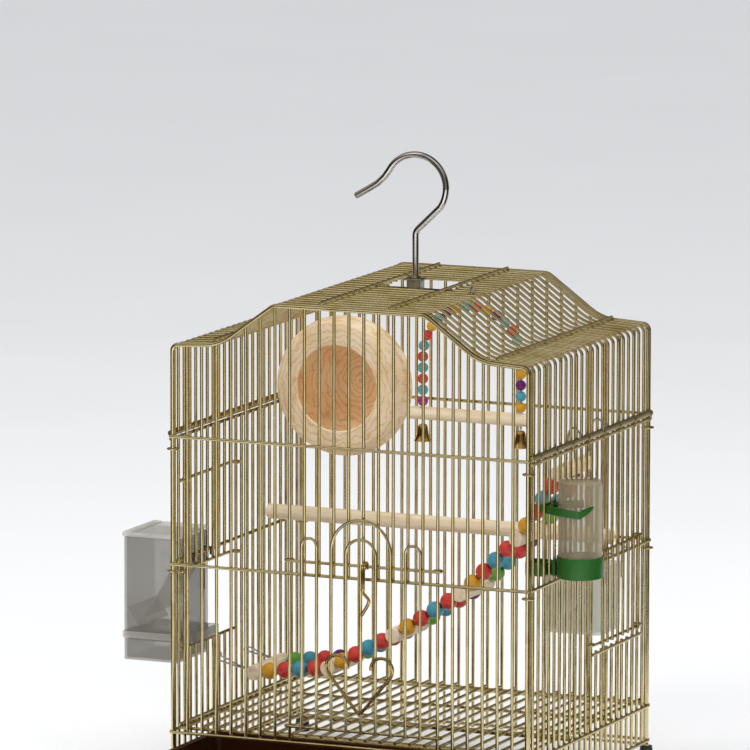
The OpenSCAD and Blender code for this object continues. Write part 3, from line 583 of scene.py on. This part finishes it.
door = Mesh()
door_y = -HALF_D - DOOR_BAR_STEP
for z in (15, 168):
    left_loop = front_loop(FRONT_X[8], z, -1)
    right_loop = front_loop(FRONT_X[18], z, 1)
    door.tube([*reversed(left_loop), *right_loop], DOOR_BAR)
for x, half_w, spring in ((DOOR_MID_X, 29.17, 181), (DOOR_MID_X, 14.58, 178),
                          (DOOR_MID_X - 51.04, 7.29, 183), (DOOR_MID_X + 51.04, 7.29, 183)):
    hoop = [(x + half_w, 13.4), *arc((x, spring), half_w, 0, 180, 20), (x - half_w, 13.4)]
    door.tube(in_xz(hoop, door_y), DOOR_BAR)
door.tube([(DOOR_MID_X, door_y, 13.4), (DOOR_MID_X, door_y, 169.6)], DOOR_BAR)
door.piece("front_door_wires", "front_door", GOLD, "gold_wire", "front_door")

heart = Mesh()
lobe = [*arc((22, 75), 10.8, 185, -38, 22), (16.6, 51.6), (2.6, 34.8)]
line = [(DOOR_MID_X + s * x, z) for s, side_path in ((-1, lobe), (1, lobe[::-1])) for x, z in side_path]
middle = len(lobe)
line.insert(middle, (DOOR_MID_X, 33.2))
heart.tube(in_xz(line, door_y - DOOR_BAR / 2 - 1.6), BAR, sides=16)
heart.piece("heart_wire", "front_door", BRASS, "brass_wire", "door_heart")

latch = Mesh()
latch_x, latch_y = DOOR_MID_X + 3.4, door_y - DOOR_BAR / 2 - 1.7
for s in (-1, 1):
    over = [(latch_x + s * 1.05, -HALF_D - DOOR_RAIL_STEP - 3.8 * math.cos(a), 168 + 3.8 * math.sin(a))
            for a in [math.radians(-20 + 250 * k / 16) for k in range(17)]]
    latch.tube([(latch_x + s * 1.05, latch_y, 146), (latch_x + s * 1.05, latch_y, 164), *over], 1.9, sides=10)
thumb = smooth([(latch_x, latch_y, 149), (latch_x, latch_y, 145), (latch_x + 5.6, latch_y, 138.5),
                (latch_x + 4.4, latch_y, 133), (latch_x - 1.5, latch_y, 123.5)])
latch.tube(thumb, 3.2, sides=14, flat=0.85)
latch.piece("latch_wire", "latch", BRASS, "brass_wire", "door_latch")


def side_door(name, side, opening, lift):
    """Sliding door on a side wall, raised by lift, with rail ends curled round the guide bars."""
    mesh = Mesh()
    y0, y1 = SIDE_Y[opening[0]], SIDE_Y[opening[1]]
    face = 0 if side > 0 else 180
    for z in (81 + lift, 165 + lift):
        first = arc((side * HALF_W, y0), DOOR_RAIL_STEP, face, face - side * 310, 24)
        second = arc((side * HALF_W, y1), DOOR_RAIL_STEP, face, face + side * 310, 24)
        mesh.tube([(*q, z) for q in [*reversed(first), *second]], DOOR_BAR)
    for j in range(opening[0] + 1, opening[1]):
        x = side * (HALF_W + DOOR_BAR_STEP)
        mesh.tube([(x, SIDE_Y[j], 79.4 + lift), (x, SIDE_Y[j], 166.6 + lift)], DOOR_BAR)
    mesh.piece(name + "_wires", name, GOLD_PAINTED_SHADE, "gold_wire", name)


side_door("left_feeder_door", -1, LEFT_J, LEFT_DOOR_LIFT)
side_door("right_feeder_door", 1, RIGHT_J, 0)

# ---- Tray ----

tray = Mesh()
x1, y0, y1, top_z, low_z = 171.5, -150.0 - TRAY_PULL, 139.0 - TRAY_PULL, -13.5, -34.5
tray.loft([
    rect(-x1 + 6, x1 - 6, y0 + 5, y1 - 6, low_z, 9),
    rect(-x1 + 4.6, x1 - 4.6, y0 + 4, y1 - 4.6, low_z + 0.6, 10),
    rect(-x1 + 3.2, x1 - 3.2, y0 + 3, y1 - 3.2, top_z - 2.2, 11),
    rect(-x1, x1, y0, y1, top_z - 2.2, 9),
    rect(-x1, x1, y0, y1, top_z - 0.5, 9),
    rect(-x1 + 0.5, x1 - 0.5, y0 + 0.5, y1 - 0.5, top_z, 9),
    rect(-x1 + 4.2, x1 - 4.2, y0 + 4.2, y1 - 4.2, top_z, 8),
    rect(-x1 + 4.8, x1 - 4.8, y0 + 4.8, y1 - 4.8, top_z - 0.6, 8),
    rect(-x1 + 6.4, x1 - 6.4, y0 + 6.4, y1 - 6.4, low_z + 3.4, 8),
    rect(-x1 + 8, x1 - 8, y0 + 8, y1 - 8, low_z + 2, 7),
])
front_y = -153.0 - TRAY_PULL
tray.loft([
    [(x, front_y + depth, z)
     for x, z, _ in rect(-176 + inset, 176 - inset, low_z + 0.5 + inset, -5 - inset, 0, 4)]
    for inset, depth in ((0, 3.2), (0, 0.8), (0.8, 0))
])
tray.slab(-30, 30, -158 - TRAY_PULL, front_y + 0.5, -12, -9, 1.4)
tray.piece("tray_moulding", "tray", TRAY_BROWN, "tray_plastic", "tray")

# ---- Hopper and seed cup ----


def open_box(mesh, outer, inner_low, wall, r=1.5):
    """Box without a lid; outer is (x0, x1, y0, y1, z0, z1)."""
    x0, x1, y0, y1, z0, z1 = outer

    def loop(inset, z):
        return rect(x0 + inset, x1 - inset, y0 + inset, y1 - inset, z, max(0.3, r - inset * 0.6))

    mesh.loft([loop(0.5, z0), loop(0, z0 + 0.5), loop(0, z1 - 0.4), loop(0.4, z1), loop(wall - 0.4, z1),
               loop(wall, z1 - 0.4), loop(wall, inner_low)])


HOP_X0, HOP_X1, HOP_Y0, HOP_Y1 = -238.0, -183.2, -117.0, -50.0


def band(inset, z):
    """Loop of the rib that runs round the hopper."""
    return rect(HOP_X0 - 1.5 + inset, HOP_X1 - inset, HOP_Y0 - 1.5 + inset, HOP_Y1 + 1.5 - inset, z, 2)


shell = Mesh()
open_box(shell, (HOP_X0, HOP_X1, HOP_Y0, HOP_Y1, 57.6, 172), 59.6, 2.0)
shell.slot = 1
rib = ((1.4, 78), (0.3, 78), (0, 78.4), (0, 83.6), (0.3, 84), (1.4, 84))
shell.loft([band(inset, z) for inset, z in rib], (False, False))
shell.piece("hopper_box", "cage", [SMOKE, SMOKE_PALE], "smoke_acrylic", "hopper_shell")

lid = Mesh()
lid.slab(-239.5, -186, -118.5, -48.5, 172.6, 174.8, 2)
lid.slab(-239.5, -230.5, -118.5, -48.5, 174.6, 176.6, 2)
lid.slab(-231, -186, -118.5, -116.5, 174.6, 176.2, 0.8)
lid.slab(-231, -186, -50.5, -48.5, 174.6, 176.2, 0.8)
lid.piece("hopper_lid_plate", "hopper_lid", SMOKE_PALE, "smoke_acrylic", "hopper_lid")

chute = Mesh()
for section in ([(-186, 150), (-188, 150), (-218, 99), (-216, 99)],
                [(-235.5, 106), (-235.5, 103.5), (-224, 88), (-222.4, 89.4)]):
    chute.loft([[(x, y, z) for x, z in section] for y in (-114.7, -52.3)])
chute.piece("hopper_plates", "cage", SMOKE_PALE, "smoke_acrylic", "hopper_chute")

trough = Mesh()
open_box(trough, (-235.6, -170, -112, -55, 75.4, 85.4), 77.4, 2.0)
trough.piece("hopper_tray", "cage", SMOKE, "smoke_acrylic", "hopper_trough")


def cup_loop(inset, z):
    """Loop of the tapered seed cup, wider towards its rim."""
    grow = (z - 83) / 61 * 3 - inset
    return rect(115 - grow, 171 - inset, 39.5 - grow, 92 + grow, z, 6)


cup = Mesh()
cup.loft([cup_loop(1, 83), cup_loop(0, 84), cup_loop(0, 141.5), cup_loop(-1.6, 142), cup_loop(-1.6, 143.6),
          cup_loop(-1.2, 144), cup_loop(1.7, 144), cup_loop(2, 143.6), cup_loop(2, 86), cup_loop(3.5, 85)])
cup.piece("seed_cup", "cage", FROSTED, "frosted_plastic", "feeder_cup")

hangers = Mesh()
for j in (3.5, 6.5):
    y = side_y(j)
    hangers.tube(smooth([(-181.7, y, 118), (-181.7, y, 140), (-181.6, y, 156), (-180.6, y, 158.2),
                         (-176.4, y, 158.3), (-175.0, y, 157), (-174.9, y, 151)]), 1.8, sides=10)
hangers.piece("hopper_hook_wires", "cage", DARK_STEEL, "dark_steel", "hopper_hooks")
hangers = Mesh()
for j in (15.5, 18.5):
    y = side_y(j)
    hangers.tube(smooth([(172.2, y, 130), (172.2, y, 150), (172.4, y, 157), (173.6, y, 158.5),
                         (177.6, y, 158.6), (180, y, 158)]), 1.8, sides=10)
hangers.piece("cup_hook_wires", "cage", ZINC, "dark_steel", "feeder_cup_hooks")

# ---- Waterer ----

WATER = (WATER_X, WATER_Y, 0)
bottle = Mesh()
bottle.lathe([(18.5, 166.8), (20, 166.8), (20, 246.4), (19.7, 248.4), (18.9, 249.8), (17.4, 250.6),
              (0.2, 250.6), (0.2, 249), (16.8, 249), (18.1, 248.2), (18.5, 246.8), (18.5, 166.8)],
             WATER, steps=72)
bottle.piece("water_bottle", "water_tube", TUBE_SMOKE, "tube_plastic", "water_tube")

base = Mesh()
base.lathe([(0.2, 161.8), (20.6, 161.8), (21.3, 162.5), (21.3, 180.7), (21, 181.3), (20.6, 181.3),
            (20.35, 180.9), (20.35, 164), (0.2, 163.8)], WATER, steps=72)
base.slab(171.5, WATER_X - 19, WATER_Y - 4, WATER_Y + 4, 162.4, 173.4, 1)
base.slab(177.6, 181.6, WATER_Y - 8, WATER_Y + 8, 162.4, 176.5, 1.5)
open_box(base, (153, 172, WATER_Y - 13, WATER_Y + 13, 161.8, 173.8), 163.8, 2.0, r=4)
base.piece("water_base", "cage", GREEN, "green_plastic", "water_cup")

clip = Mesh()
outer_band = [(172, -14.5), (177, -17.5), (184, -20.6), (194, -23.3), (203, -24.6), (211.5, -24.4)]
rise = [0, 0, -0.3, -0.8, -1.4, -2.0]
ribbon = [((x, WATER_Y + y), 224.5 + dz, 3.5) for (x, y), dz in zip(outer_band, rise)]
ribbon += [((214.5, WATER_Y - 21.5), 224.6, 3.2), ((218.5, WATER_Y - 17.5), 227.2, 2.2),
           ((221, WATER_Y - 14.5), 229.4, 0.5)]
limit_x = WATER_X + 21.2
loops = []
for i, ((x, y), z, h) in enumerate(ribbon):
    before, after = ribbon[max(i - 1, 0)][0], ribbon[min(i + 1, len(ribbon) - 1)][0]
    along = Vector((after[0] - before[0], after[1] - before[1])).normalized()
    nx, ny = along.y * 0.9, -along.x * 0.9
    loops.append([(min(x + t * nx, limit_x), y + t * ny, z + u * h)
                  for t, u in ((1, -1), (1, 1), (-1, 1), (-1, -1))])
clip.loft(loops)
clip.slab(170, 172.4, WATER_Y - 17, WATER_Y + 14, 221, 228, 1)
clip.slab(177.4, 180, WATER_Y - 17, WATER_Y + 14, 220.5, 228.5, 1)
clip.slab(171.5, 182.3, WATER_Y - 4, WATER_Y + 4, 221.4, 227.6, 1)
clip.loft([[(x, WATER_Y + y, z) for x, y in ((178, 12), (180, 14), (196, 24.6), (195, 22.6))]
           for z in (221, 228)])
clip.piece("water_clip_band", "cage", GREEN, "green_plastic", "water_clip")

# ---- Nest bowl ----

nest = Mesh()
outer = [(57, 0), (59.4, 0.5), (61.1, 2), (62.5, 5.5), *arc((38, 20), 28, -24, 62, 14),
         (48.2, 50), (44, 56.5), (38.5, 63), (33.5, 69), (30, 74.1), (3.4, 74.1), (3.4, 62)]
inner = [(0.2, 57), (6, 57.4), (12, 57.6), *arc((12, 22), 36, 76, -22, 20), (41.6, 4), (40.2, 1.4), (41.6, 0)]
# Slot 1, the hollow, takes the inside wood with its painted light.
nest.slot = 1
nest.lathe(inner, BOWL, axis=(0, 1, 0), steps=96)
nest.slot = 0
nest.lathe([inner[-1], (48, -0.15), *outer, (0.2, 62)], BOWL, axis=(0, 1, 0), steps=96)
nest.piece("nest_turned_bowl", "cage", [NEST_WOOD, NEST_INSIDE_PAINTED_LIGHT], "nest_wood", "nest_bowl")

bolt = Mesh()
thread = [(3 - 0.25 * (k % 2), 74 + k * 0.5) for k in range(36)]
bolt.lathe([(0.2, 62), (3, 62), (3, 74), *thread, (0.2, 92)], BOWL, axis=(0, 1, 0), steps=32)
bolt.piece("nest_bolt_rod", "cage", ZINC, "zinc_steel", "nest_bolt")

nut_y = HALF_D + BAR / 2 + 2
nut = Mesh()
nut.lathe([(3.05, 0), (5, 0), (5.5, 0.5), (5.2, 7.4), (4.7, 8), (3.05, 8), (3.05, 0)],
          (BOWL[0], nut_y, BOWL[2]), axis=(0, 1, 0), steps=32)
wing = [(3.6, 1), (8, 0.8), (12, 2.4), (15, 6.2), (15, 10), (13, 12), (10.4, 11.4), (8.2, 8.4), (4.6, 7.4)]
for s in (-1, 1):
    c, d = math.cos(math.radians(-20)) * s, math.sin(math.radians(-20)) * s
    nut.loft([[(BOWL[0] + c * r - d * off, nut_y + h, BOWL[2] + d * r + c * off) for r, h in wing]
              for off in (-1.2, 1.2)])
nut.piece("nest_wing_nut_cast", "cage", ZINC, "zinc_steel", "nest_wing_nut")

# ---- Swing ----


def swing_at(s):
    """Place and direction on the swing's wire, s millimetres from the dowel's middle up the left leg."""
    leg, turn = SWING_BEND_Z - SWING_LOW_Z, math.pi * SWING_HALF
    if s < leg:
        return (SWING_X - SWING_HALF, SWING_Y, SWING_LOW_Z + s), (0, 0, 1)
    if s < leg + turn:
        a = math.pi - (s - leg) / SWING_HALF
        return ((SWING_X + SWING_HALF * math.cos(a), SWING_Y, SWING_BEND_Z + SWING_HALF * math.sin(a)),
                (math.sin(a), 0, -math.cos(a)))
    return (SWING_X + SWING_HALF, SWING_Y, SWING_BEND_Z - (s - leg - turn)), (0, 0, -1)


swing = Mesh()
hoop = [(SWING_X - SWING_HALF, SWING_LOW_Z - 9), *arc((SWING_X, SWING_BEND_Z), SWING_HALF, 180, 0, 36),
        (SWING_X + SWING_HALF, SWING_LOW_Z - 9)]
swing.tube(in_xz(hoop, SWING_Y), 2, sides=10)
eye = [(SWING_X, SWING_Y + y, z) for y, z in arc((0, ROOF_Z), 6, -90, 240, 24)]
swing.tube([(SWING_X, SWING_Y, SWING_BEND_Z + SWING_HALF - 0.5), *eye], 1.9, sides=10)
swing.piece("swing_hoop", "swing", ZINC, "zinc_steel", "swing_wire")

dowel = Mesh()
dowel.lathe([(0.1, 0), (5, 0), (6, 1), (6, 117), (5, 118), (0.1, 118)], (SWING_X - 61, SWING_Y, SWING_LOW_Z),
            axis=(1, 0, 0), steps=40)
dowel.piece("swing_dowel", "swing", PALE_LONG, "pale_wood", "swing_perch")

SWING_NAMES = {"R": "red", "T": "teal", "Y": "yellow", "P": "purple", "M": "magenta"}
for code, colour in SWING_NAMES.items():
    beads = Mesh()
    for k, letter in enumerate(SWING_CODES):
        if letter == code:
            place, direction = swing_at(SWING_FIRST + k * SWING_PITCH)
            beads.lathe(bead_profile(4.9, 1.5), place, axis=direction, steps=28)
    beads.piece("swing_bead_string_" + colour, "swing", BEADS[code], "bead_" + colour,
                "swing_beads_" + colour)

for name, body, side in (("bell_left", "left_bell", -1), ("bell_right", "right_bell", 1)):
    bell = Mesh()
    place = (SWING_X + side * SWING_HALF, SWING_Y, SWING_LOW_Z - 9.9)
    bell.lathe([(0.1, 0), (2, -0.1), (3.4, -0.7), (4.3, -2), (4.8, -4.6), (5.3, -8.4), (6.2, -11.8),
                (7.4, -14.4), (8, -15.4), (7.9, -15.9), (7.3, -15.9), (6.4, -14.2), (5.2, -11.6), (4.2, -8),
                (3.6, -4), (2.6, -1.8), (0.1, -1.5)], place, steps=48)
    bell.tube([(place[0], place[1], place[2] - 1.4), (place[0], place[1], place[2] - 14)], 1.2, sides=10)
    bell.lathe(bead_profile(2.2, 0.1), (place[0], place[1], place[2] - 14.6), steps=24)
    bell.piece(name + "_cast", body, BELL_BRASS, "bell_brass", name)

# ---- Ladder ----

rungs = Mesh()
rung = [(0.1, 0), (6.4, 0), (RUNG_R, 0.7), (RUNG_R, 70.3), (6.4, 71), (0.1, 71)]
for x, z in LADDER_POINTS:
    rungs.lathe(rung, (x, -49, z), axis=(0, 1, 0), steps=40)
rungs.piece("ladder_dowels", "cage", PALE_CROSS, "pale_wood", "ladder_rungs")

cable = Mesh()
for y in LADDER_Y:
    line = [LADDER_LEFT, *LADDER_POINTS, LADDER_RIGHT]
    cable.tube([(x, y, z) for x, z in line], 1.8, sides=10)
    cable.tube(smooth([(165, y, 250), (169.5, y, 262), (171, y, 280), (173.5, y, 287.5), (178, y, 289),
                       (182.2, y, 285), (182.6, y, 279.5)]), 1.8, sides=10)
    for tip in (9, -3):
        cable.tube(smooth([(-140, y, 41), (-158, y + tip / 3, 44.5), (-171.5, y + tip, 48),
                           (-177.4, y + tip, 50), (-178.2, y + tip, 54)]), 1.6, sides=10)
cable.piece("ladder_cables", "cage", ZINC, "zinc_steel", "ladder_wires")

LADDER_NAMES = {"R": "red", "B": "blue", "Y": "yellow", "G": "green", "P": "purple"}
for code, colour in LADDER_NAMES.items():
    beads = Mesh()
    for y, letters in zip(LADDER_Y, LADDER_CODES):
        for k in range(len(LADDER_POINTS) - 1):
            a, b = Vector(LADDER_POINTS[k]), Vector(LADDER_POINTS[k + 1])
            along, pitch = (b - a).normalized(), ((b - a).length - 2 * RUNG_R) / 4
            for m, letter in enumerate(letters):
                if letter == code:
                    p = a + along * (RUNG_R + (m + 0.5) * pitch)
                    beads.lathe(bead_profile(7.8, 2.6), (p.x, y, p.y), axis=(along.x, 0, along.y), steps=36)
    slot_name = "bead_teal" if code == "B" else "bead_" + colour
    beads.piece("ladder_bead_string_" + colour, "cage", BEADS[code], slot_name, "ladder_beads_" + colour)

# ---- Carried-over CAD nodes ----

KEPT = {"feet": FOOT_BLACK, "hook_nut": CHROME, "nest_washers": ZINC}
for name, mat in KEPT.items():
    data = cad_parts[name].data
    data.materials.clear()
    data.materials.append(mat)

# ---- Floor, lights and camera ----

FLOOR_PALE = surface("floor_pale", [(0.8865, 0.8865, 0.8865), (0.9, 0.9, 0.9)], (0.8, 0.9),
                     scale=3, bump=0.02, bump_scale=40, Specular_IOR_Level=0.1)
floor_data = bpy.data.meshes.new("floor")
floor_data.from_pydata([(-30, -30, 0), (30, -30, 0), (30, 30, 0), (-30, 30, 0)], [], [(0, 1, 2, 3)])
floor = bpy.data.objects.new("floor", floor_data)
floor_data.materials.append(FLOOR_PALE)
bpy.context.scene.collection.objects.link(floor)

# A dark dome with bright windows, which only reflections see, gives the wires their contrast
card = bpy.data.materials.new("reflection_card")
card.use_nodes = True
card_nodes, card_links = card.node_tree.nodes, card.node_tree.links
card_nodes.clear()
place = card_nodes.new("ShaderNodeTexCoord")
split = card_nodes.new("ShaderNodeSeparateXYZ")
card_links.new(place.outputs["Object"], split.inputs[0])
angle = card_nodes.new("ShaderNodeMath")
angle.operation = "ARCTAN2"
card_links.new(split.outputs["Y"], angle.inputs[0])
card_links.new(split.outputs["X"], angle.inputs[1])
turn = card_nodes.new("ShaderNodeMapRange")
turn.inputs["From Min"].default_value, turn.inputs["From Max"].default_value = -math.pi, math.pi
card_links.new(angle.outputs[0], turn.inputs["Value"])
dark, mid, soft, bright = (0.02, 0.016, 0.01), (0.3, 0.28, 0.24), (0.62, 0.6, 0.54), (1.3, 1.25, 1.15)
windows = ramp(card_nodes, card_links, turn.outputs[0],
               [(0.0, mid), (0.05, dark), (0.13, dark), (0.18, mid), (0.24, bright), (0.34, bright),
                (0.4, mid), (0.45, dark), (0.58, dark), (0.64, soft), (0.73, soft), (0.79, dark),
                (0.88, mid), (1.0, mid)])
wall = ramp(card_nodes, card_links, turn.outputs[0],
            [(0.0, dark), (0.24, dark), (0.32, mid), (0.45, dark), (0.6, dark), (0.66, mid), (0.72, mid),
             (0.8, dark), (1.0, dark)])
sky = ramp(card_nodes, card_links, turn.outputs[0],
           [(0.0, mid), (0.09, mid), (0.15, bright), (0.2, mid), (0.3, soft), (0.45, mid), (0.6, dark),
            (0.75, dark), (0.9, mid), (1.0, mid)])
for low, high, upper in ((0.06, 0.1, wall), (1.5, 2.6, sky)):
    level = card_nodes.new("ShaderNodeMapRange")
    level.inputs["From Min"].default_value, level.inputs["From Max"].default_value = low, high
    card_links.new(split.outputs["Z"], level.inputs["Value"])
    mix = card_nodes.new("ShaderNodeMix")
    mix.data_type = "RGBA"
    card_links.new(level.outputs[0], mix.inputs["Factor"])
    card_links.new(windows, mix.inputs["A"])
    card_links.new(upper, mix.inputs["B"])
    windows = mix.outputs["Result"]
glow = card_nodes.new("ShaderNodeEmission")
card_links.new(windows, glow.inputs["Color"])
card_out = card_nodes.new("ShaderNodeOutputMaterial")
card_links.new(glow.outputs[0], card_out.inputs["Surface"])

dome_profile = [(0.62, 0.004), (1.4, 0.012), (2.6, 0.03), (3.3, 0.12), (3.4, 0.5), (3.4, 2.4), (3.0, 3.2),
                (2.0, 3.9), (0.9, 4.2), (0.01, 4.25)]
steps = 64
turns = [2 * math.pi * k / steps for k in range(steps)]
dome_verts = [(r * math.cos(a), r * math.sin(a), z) for r, z in dome_profile for a in turns]
dome_faces = [(i + k, i + (k + 1) % steps, i + steps + (k + 1) % steps, i + steps + k)
              for i in range(0, (len(dome_profile) - 1) * steps, steps) for k in range(steps)]
dome_data = bpy.data.meshes.new("reflection_dome")
dome_data.from_pydata(dome_verts, [], dome_faces)
dome_data.materials.append(card)
dome = bpy.data.objects.new("reflection_dome", dome_data)
bpy.context.scene.collection.objects.link(dome)
for ray in ("camera", "diffuse", "transmission", "volume_scatter", "shadow"):
    setattr(dome, "visible_" + ray, False)

world = bpy.data.worlds.new("studio")
world.use_nodes = True
world.node_tree.nodes["Background"].inputs["Color"].default_value = (0.96, 0.97, 1, 1)
world.node_tree.nodes["Background"].inputs["Strength"].default_value = 0.75
bpy.context.scene.world = world


def softbox(name, place, target, size, power):
    """Rectangular area light at place, turned to target; it leaves no highlight of its own."""
    data = bpy.data.lights.new(name, "AREA")
    data.shape = "RECTANGLE"
    data.size, data.size_y = size
    data.energy = power
    obj = bpy.data.objects.new(name, data)
    obj.location = place
    obj.rotation_mode = "QUATERNION"
    obj.rotation_quaternion = (Vector(target) - Vector(place)).to_track_quat("-Z", "Y")
    obj.visible_glossy = False
    bpy.context.scene.collection.objects.link(obj)


middle = at(0, 0, 180)
softbox("key", (-1.6, -2.4, 2.4), middle, (1.6, 1.6), 42)
softbox("fill", (2.6, -1.4, 1.5), middle, (1.2, 1.8), 22)
softbox("top", (0.1, 0.3, 2.8), middle, (2.2, 2.2), 26)

CAMERA_AT = (3014.3, -7055.1, 1521.8)
FOCAL_PIXELS, IMAGE_PIXELS, SENSOR_MM = 8469.64, 750, 36
YAW, PITCH, ROLL = math.radians(-23.392), math.radians(8.9), math.radians(-0.102)
forward = Vector((math.sin(YAW) * math.cos(PITCH), math.cos(YAW) * math.cos(PITCH), -math.sin(PITCH)))
right = Vector((math.cos(YAW), -math.sin(YAW), 0))
down = forward.cross(right)
right, down = (right * math.cos(ROLL) + down * math.sin(ROLL), down * math.cos(ROLL) - right * math.sin(ROLL))
camera_data = bpy.data.cameras.new("camera")
camera_data.sensor_width = SENSOR_MM
camera_data.lens = SENSOR_MM * FOCAL_PIXELS / IMAGE_PIXELS
camera_data.clip_start, camera_data.clip_end = 0.5, 80
camera = bpy.data.objects.new("camera", camera_data)
bpy.context.scene.collection.objects.link(camera)
turned = Matrix((right, -down, -forward)).transposed().to_4x4()
camera.matrix_world = Matrix.Translation(at(*CAMERA_AT)) @ turned
bpy.context.scene.camera = camera
bpy.context.scene.view_settings.view_transform = "Standard"
